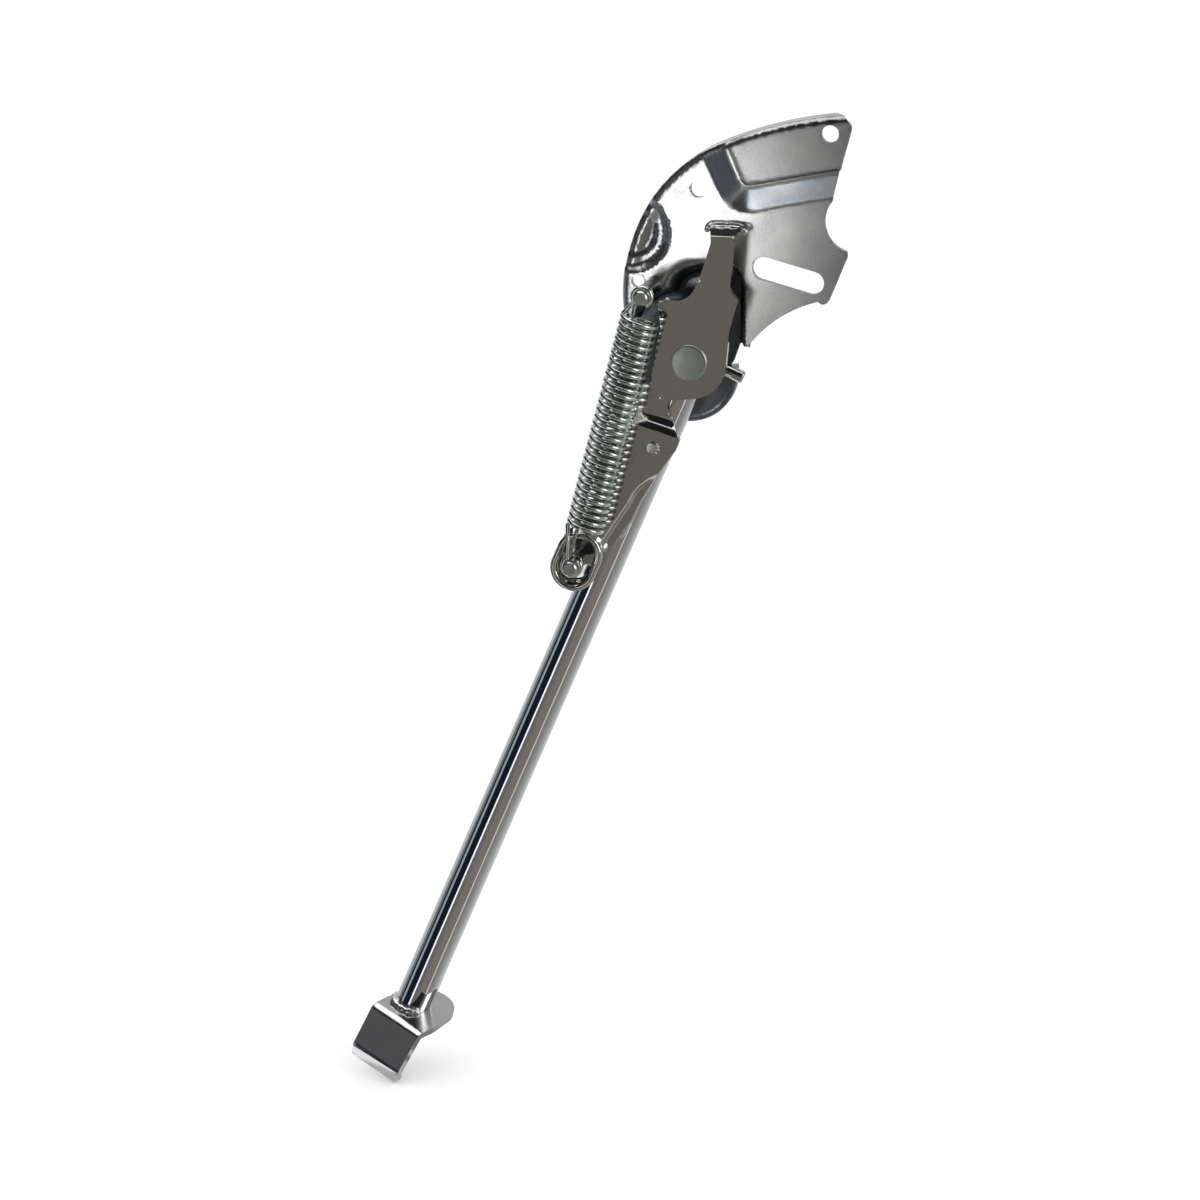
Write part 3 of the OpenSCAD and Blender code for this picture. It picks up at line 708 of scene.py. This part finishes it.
def at(x, z):
    """A move in the bracket's plane, in millimetres."""
    return Matrix.Translation((x / 1000, 0, z / 1000))


rivet = turned("pivot_rivet_head", [(0, -19), (6.7, -19), (7.15, -18.9), (7.5, -18.65),
                                    (7.7, -18.35), (7.7, -18.05), (4, -18.05), (4, 8),
                                    (6.9, 8), (6.7, 8.5), (5.8, 9.4), (5.2, 9.6), (0, 9.6)],
               at(*pivot))
zinc = plated("zinc_plate", (0.62, 0.68, 0.62), (0.44, 0.49, 0.44), 0.34, 0.12,
              cloud=220, grain=2200, dent=0.15)
rivet.data.materials.append(zinc)
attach(rivet, "bracket")
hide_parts("pivot_rivet")

# --- Spring post --------------------------------------------------------
# A turned pin riveted through the bracket's front edge. A collar holds the
# springs out, and a low head keeps the upper loops on.
coil_y = -28.0
pin_head = [(0, -34), (2.6, -34), (3.1, -33.6), (3.3, -33.2), (3.3, -32.8), (2.5, -32.4),
            (2.5, -24.3), (3.3, -24), (3.7, -23.6)]
spring_post = turned("upper_spring_post",
                     pin_head + [(3.7, -3.05), (2.5, -3.05), (2.5, 0), (2.2, 0.4), (1.4, 0.6),
                                 (0, 0.6)], at(*post), 40)
pin_metal = plated("pin_metal", (0.70, 0.72, 0.70), (0.42, 0.45, 0.42), 0.12, 0.12,
                   cloud=300, grain=1600, dent=0.1)
spring_post.data.materials.append(pin_metal)
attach(spring_post, "bracket")
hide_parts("spring_post")

# --- Leg tube -----------------------------------------------------------
# Drawn steel tube, 16 mm across, cut square at the top and slanted at the
# foot, with the brightest chrome on the stand.
tilt = math.radians(22.8)
tube_y, leg_len, leg_top = -3.3, 324.0, 27.0
spare = 16  # length of tube that the slanted cut takes off
foot_turn = [math.radians(a) for a in (3.6, 15.2, -28.8)]
leg = at(*pivot) @ Matrix.Rotation(tilt, 4, "Y")
foot = (leg @ Matrix.Translation((0, tube_y / 1000, -leg_len / 1000))
        @ Matrix.Rotation(-tilt, 4, "Y") @ Euler(foot_turn, "XYZ").to_matrix().to_4x4())
middle = leg @ Vector((0, tube_y / 1000, (leg_top - leg_len - spare) / 2000))
bpy.ops.object.select_all(action="DESELECT")
bpy.ops.mesh.primitive_cylinder_add(vertices=144, radius=0.008,
                                    depth=(leg_len + spare + leg_top) / 1000,
                                    end_fill_type="NOTHING", location=middle,
                                    rotation=(0, tilt, 0))
tube = bpy.context.object
tube.name = "leg_tube_chrome"
bpy.ops.object.transform_apply(location=True, rotation=True, scale=True)
bpy.ops.object.mode_set(mode="EDIT")
bpy.ops.mesh.select_all(action="SELECT")
bpy.ops.mesh.bisect(plane_co=foot.translation, plane_no=foot.to_3x3() @ Vector((0, 0, 1)),
                    clear_inner=True)
bpy.ops.object.mode_set(mode="OBJECT")
wall = tube.modifiers.new("wall", "SOLIDIFY")
wall.thickness = 0.0018
wall.offset = -1
ends = tube.modifiers.new("ends", "BEVEL")
ends.width = 0.0003
ends.segments = 3
ends.limit_method = "ANGLE"
ends.angle_limit = math.radians(50)
for modifier in ("wall", "ends"):
    bpy.ops.object.modifier_apply(modifier=modifier)
bpy.ops.object.shade_smooth_by_angle(angle=math.radians(30))
tube_chrome = plated("tube_chrome", (0.88, 0.88, 0.89), (0.80, 0.80, 0.80), 0.035, 0.02,
                     cloud=18, grain=300)
tube.data.materials.append(tube_chrome)
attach(tube, "leg")
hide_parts("leg_tube")

# --- Pivot bush ---------------------------------------------------------
# A plain steel sleeve pressed through the leg, in which the rivet turns. It
# is hidden inside the tube, and only its rim ever shows.
nodes["pivot_bush"].data.materials.clear()
nodes["pivot_bush"].data.materials.append(pin_metal)

# --- Stop peg -----------------------------------------------------------
# A short turned steel peg set crosswise in the leg, with a chamfered nose and
# a fine groove where it leaves the tube.
peg_frame = (leg @ Matrix.Translation((0, (tube_y - 4.2) / 1000, 0.001))
             @ Matrix.Rotation(math.radians(-90), 4, "Z"))
stop_peg = turned("stop_peg_turned", [(0, 6), (2.7, 6), (2.7, 11.4), (2.55, 11.8), (2.7, 12.2),
                                      (2.7, 21.7), (2.62, 22.1), (2.3, 22.5), (2.0, 22.6),
                                      (0, 22.6)], peg_frame, 40)
stop_peg.data.materials.append(pin_metal)
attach(stop_peg, "leg")
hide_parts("stop_peg")

# --- Spring arm ---------------------------------------------------------
# A pressing that swings with the leg: an eye under the fork plate, a joggle
# out over the tube, a narrow strip set back on the tube and welded there,
# and a deep drawn cup for the springs' lower pin.
anchor = (-10.0, -99.5)
cup_half = 3.3
arm_front, arm_lift, cup_lift = -14.5, 3.5, 3.2
arm_step = [(14, -46.6), (6.8, -50.2), (4.2, -53.2), (1.6, -58), (0.2, -62.5), (0, -67),
            (-1.6, -76), (-4.4, -92)]


def cup_gap(x, z):
    """Distance from the line between the cup's two centres."""
    return math.hypot(x - anchor[0], max(0, abs(z - anchor[1]) - cup_half))


def arm_form(x, z):
    """Out over the tube at the joggle, back on it along the strip, and out round the cup."""
    lift = arm_lift * ramp((-29.3 + 0.118 * (x + 12.5) - z) / 4.8, 0.25)
    if z < -42:
        lift -= arm_lift * ramp(side_of(arm_step, x, z) / 2.2 + 0.25, 0.3)
    if z < -78:
        lift += cup_lift * ramp((11.6 - cup_gap(x, z)) / 3.2, 0.3)
    return x, arm_front - lift, z


arm_edge = (
    arc((0, 0), 11.5, -34, 164, 40)
    + softened([(-11.2, 0, 0), (-11.5, -15.6, 2), (-15.2, -19.6, 2), (-12.7, -30, 3),
                (-14.4, -35, 3), (-14.5, -45, 0)])[1:]
    + [(-14.2, -60), (-14, -73), (-15, -79), (-18.6, -88.5), (-19.4, -93)]
    + arc((anchor[0], anchor[1] + cup_half), 8.6, 158, 24, 18)
    + [(-0.9, -91.6), (0.6, -87.4), (3.2, -76.5), (3.9, -66), (6.3, -51.5), (8.6, -42),
       (9.7, -37), (9.5, -32.6)]
    + softened([(9.5, -32.6, 0), (8.4, -31.6, 1), (4.6, -28.4, 1.5), (0.4, -25, 3),
                (-3.7, -20.5, 5), (9, -6, 0)])[1:-1]
)
arm_rivet_at = (-0.2, -40.3)
arm = pressed("spring_arm_pressing", arm_edge, [disc((0, 0), 5.55), disc(arm_rivet_at, 2.7)],
              [[(-16, -29.6 - s), (10, -26.6 - s)] for s in (0, 1.2, 2.4, 3.6, 4.8)]
              + [[(x + s, z) for x, z in arm_step[1:]] for s in (-0.55, 0, 0.55, 1.1, 1.65)]
              + [arc((anchor[0], anchor[1] + cup_half), r, 160, 10, 20)
                 for r in (9.4, 10.4, 11.6)],
              arm_form, pitch=1.5)
cup_lip = [(8.5 - 1.5 * math.cos(math.radians(a)), -20 - 1.5 * math.sin(math.radians(a)))
           for a in range(15, 180, 15)]
cup_profile = (
    [(0, -14.5), (5.6, -14.5), (6.4, -14.8), (6.9, -15.6), (7.0, -16.6), (7.0, -19.9)]
    + cup_lip + [(10, -19.9), (10, -12.3), (9.8, -11.8), (9.3, -11.5), (0, -11.5)])
cup_steps = 28  # round each half of the cup
around = [math.radians(start + 180 * i / cup_steps)
          for start in (0, 180) for i in range(cup_steps + 1)]
cup_points = [((anchor[0] + r * math.cos(a)) / 1000, y / 1000,
               (anchor[1] + (cup_half if k <= cup_steps else -cup_half)
                + r * math.sin(a)) / 1000)
              for k, a in enumerate(around) for r, y in cup_profile]
rings, count = len(around), len(cup_profile)
cup_faces = [(k * count + i, k * count + i + 1, (k + 1) % rings * count + i + 1,
              (k + 1) % rings * count + i) for k in range(rings) for i in range(count - 1)]
cup_mesh = bpy.data.meshes.new("cup")
cup_mesh.from_pydata(cup_points, [], cup_faces)
cup = bpy.data.objects.new("cup", cup_mesh)
scene.collection.objects.link(cup)
take_up(cup)
bpy.ops.object.mode_set(mode="EDIT")
bpy.ops.mesh.select_all(action="SELECT")
bpy.ops.mesh.remove_doubles(threshold=1e-6)
bpy.ops.mesh.dissolve_degenerate(threshold=1e-7)
bpy.ops.mesh.select_all(action="SELECT")
bpy.ops.mesh.normals_make_consistent(inside=False)
bpy.ops.object.mode_set(mode="OBJECT")
bpy.ops.object.shade_smooth_by_angle(angle=math.radians(40))
arm.select_set(True)
bpy.context.view_layer.objects.active = arm
bpy.ops.object.join()
arm.data.transform(leg)
arm_plate = plated("arm_plate", (0.76, 0.75, 0.73), (0.62, 0.61, 0.59), 0.08, 0.05,
                   cloud=45, grain=500)
arm.data.materials.append(arm_plate)
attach(arm, "leg")
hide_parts("spring_arm")

# --- Arm rivet ----------------------------------------------------------
# A hand-peened steel rivet that pins the arm to the tube above the weld. It
# is plated over with the weld, and its face is a little uneven.
arm_rivet = turned("arm_rivet_peened", [(0, -18.42), (0.7, -18.5), (1.6, -18.4), (2.3, -18.3),
                                        (2.6, -18.05), (2.67, -17.7), (2.67, -9.6), (0, -9.6)],
                   leg @ at(*arm_rivet_at), 28)
arm_rivet.data.materials.append(weld_metal)
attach(arm_rivet, "leg")
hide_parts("arm_rivet")

# --- Arm weld -----------------------------------------------------------
# The bead that joins the arm's strip to the front of the tube, laid along
# the strip's edge and plated over.
arm_weld_y = -11.9
arm_weld_line = [tuple(1000 * (leg @ Vector((x / 1000, arm_weld_y / 1000, z / 1000))))
                 for x, z in ((4.6, -53), (3.8, -63), (3.2, -74), (2.2, -84))]
arm_weld = bead("arm_bead", arm_weld_line, 1.5, 24, 9)
arm_weld.data.materials.append(weld_metal)
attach(arm_weld, "leg")
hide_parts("arm_weld")

# --- Anchor pin ---------------------------------------------------------
# The springs' lower pin: turned steel like the upper post, with the same head
# and collar, and riveted through the cup's floor.
anchor_pin = turned("lower_spring_pin",
                    pin_head + [(3.7, -14.5), (2.5, -14.5), (2.5, -11.5), (0, -11.5)],
                    leg @ at(*anchor), 40)
anchor_pin.data.materials.append(pin_metal)
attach(anchor_pin, "leg")
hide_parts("anchor_pin")

# --- Foot plate ---------------------------------------------------------
# Steel plate bent twice: a round-ended flange under the tube, a broad web
# that faces forward, and a short lip turned down to the ground. Bright plated.
bend_in, bend_arc, web_run, knee_arc, lip_run = 2.494, 4.555, 16.0, 2.23, 4.2
foot_bend_r, knee_r = 4.5, 4
foot_at = (-4.5, 15.6)
web_way, lip_way = math.radians(58), math.radians(90)


def foot_form(x, w):
    """w runs along the outer face: the flange, 0 at the first bend, then down to the lip."""
    if w >= 0:
        y, z = bend_in + w, 0.0
    elif w > -bend_arc:
        a = -w / foot_bend_r
        y, z = bend_in - foot_bend_r * math.sin(a), -foot_bend_r * (1 - math.cos(a))
    elif w > -bend_arc - web_run:
        s = -w - bend_arc
        y = bend_in - foot_bend_r * math.sin(web_way) - s * math.cos(web_way)
        z = -foot_bend_r * (1 - math.cos(web_way)) - s * math.sin(web_way)
    else:
        s = -w - bend_arc - web_run
        a = web_way + min(s, knee_arc) / knee_r
        y = (bend_in - foot_bend_r * math.sin(web_way) - web_run * math.cos(web_way)
             - knee_r * (math.sin(a) - math.sin(web_way)))
        z = (-foot_bend_r * (1 - math.cos(web_way)) - web_run * math.sin(web_way)
             - knee_r * (math.cos(web_way) - math.cos(a)))
        if s > knee_arc:
            y -= (s - knee_arc) * math.cos(lip_way)
            z -= (s - knee_arc) * math.sin(lip_way)
    return x - foot_at[0], y - foot_at[1], z


lip_end = -(bend_arc + web_run + knee_arc + lip_run)
flange = softened([(-14.5, lip_end, 1.6), (14.5, lip_end, 1.6), (14.5, 7.5, 8), (12, 19.5, 0)])
foot_edge = (flange[:-1] + arc((0, 17.0), 12.5, 8, 172, 40)
             + softened([(-12, 19.5, 0), (-14.5, 7.5, 8), (-14.5, 0, 0)])[1:-1])
foot_rows = [0.3, 0, -0.7, -1.4, -2.1, -2.9, -3.7, -bend_arc, -bend_arc - 0.4] + [
    -bend_arc - web_run - s for s in (-0.3, 0, 0.45, 0.9, 1.35, 1.8, knee_arc, 2.6)]
foot_plate = pressed("foot_plate_bent", foot_edge, [], [[(-15, w), (15, w)] for w in foot_rows],
                     foot_form, pitch=1.7)
foot_plate.data.transform(foot)
foot_metal = plated("foot_metal", (0.74, 0.74, 0.74), (0.60, 0.60, 0.60), 0.15, 0.08,
                    cloud=60, grain=900, dent=0.04)
foot_plate.data.materials.append(foot_metal)
# Painted shade: a grey card under the foot, seen only in reflections, for the plate to mirror.
foot_shade_corners = [foot @ Vector((x, y, 0)) for x, y in ((-0.026, -0.033), (0.024, -0.033),
                                                    (0.024, -0.010), (-0.026, -0.010))]
card("painted_foot_shade", [(v.x, v.y, floor_z + 0.0004) for v in foot_shade_corners], [(0, 1, 2, 3)],
     (0.50, 0.51, 0.52))
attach(foot_plate, "leg")
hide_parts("foot_plate")

# --- Foot weld ----------------------------------------------------------
# A heavy hand-laid bead round the front half of the tube's end, which holds
# the foot on. It is plated over with the rest.
ring_r, ring_up = 0.0084, 0.0004
ring_line = [tuple(1000 * (foot @ Vector((ring_r * math.cos(a), ring_r * math.sin(a), ring_up))))
             for a in [math.radians(10 * k) for k in range(19, 34)]]
foot_weld = bead("foot_bead", ring_line, 1.9, 22, 2)
foot_weld.data.materials.append(weld_metal)
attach(foot_weld, "leg")
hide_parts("foot_weld")

# --- Springs ------------------------------------------------------------
# Two tension springs of zinc-plated wire, one inside the other, each with a
# loop at both ends. Their upper loops turn on the post and their lower loops on
# the arm's pin, which swings with the leg. Here the coils are joined to neither body.
spring_len, spring_tilt = 120.925, math.atan2(29.976, 117.150)
along = (Matrix.Translation((post[0] / 1000, coil_y / 1000, post[1] / 1000))
         @ Matrix.Rotation(spring_tilt, 4, "Y"))


def wound(name, coil_r, wire, side, turns, lean):
    """A coil with an eye at each end, swept as one wire."""
    loop_r, seat, rows = 2.9 + wire / 2, -0.2, 24
    coil_top, coil_end = -9.5, 17 - spring_len
    loop = [math.radians(v) for v in range(-50, 236, 11)]
    path = [(loop_r * math.cos(a), side, seat + loop_r * math.sin(a)) for a in loop]
    for i in range(rows * turns + 1):
        a = math.pi + 2 * math.pi * i / rows
        path.append((lean + coil_r * math.cos(a), coil_r * math.sin(a),
                     coil_top + (coil_end - coil_top) * i / (rows * turns)))
    path += [(-loop_r * math.cos(a), side, -spring_len - seat - loop_r * math.sin(a))
             for a in loop]
    curve = bpy.data.curves.new(name, "CURVE")
    curve.dimensions = "3D"
    curve.bevel_depth = wire / 2000
    curve.bevel_resolution = 2
    curve.use_fill_caps = True
    line = curve.splines.new("POLY")
    line.points.add(len(path) - 1)
    for point, place in zip(line.points, path):
        point.co = (*(along @ Vector([c / 1000 for c in place])), 1)
    piece = bpy.data.objects.new(name, curve)
    scene.collection.objects.link(piece)
    take_up(piece)
    bpy.ops.object.convert(target="MESH")
    piece = bpy.context.object
    bpy.ops.object.shade_smooth_by_angle(angle=math.radians(60))
    return piece


wire_zinc = plated("wire_zinc", (0.92, 0.95, 0.92), (0.46, 0.52, 0.46), 0.14, 0.12,
                   cloud=260, grain=1500, dent=0.08)
# Painted shade: the inner coil takes a darker copy of the zinc, for lying inside the outer one.
wire_painted_shade = plated("wire_painted_shade", (0.50, 0.56, 0.50), (0.24, 0.29, 0.25), 0.18, 0.12,
                    cloud=260, grain=1500, dent=0.08)
outer = wound("outer_coil", 7.5, 2.0, -1.3, 30, 1.2)
inner = wound("inner_coil", 4.1, 1.8, 1.2, 33, 2.3)
for coil, node in ((outer, "outer_spring"), (inner, "inner_spring")):
    coil.data.materials.append(wire_zinc if coil == outer else wire_painted_shade)
    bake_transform(coil)
    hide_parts(node)
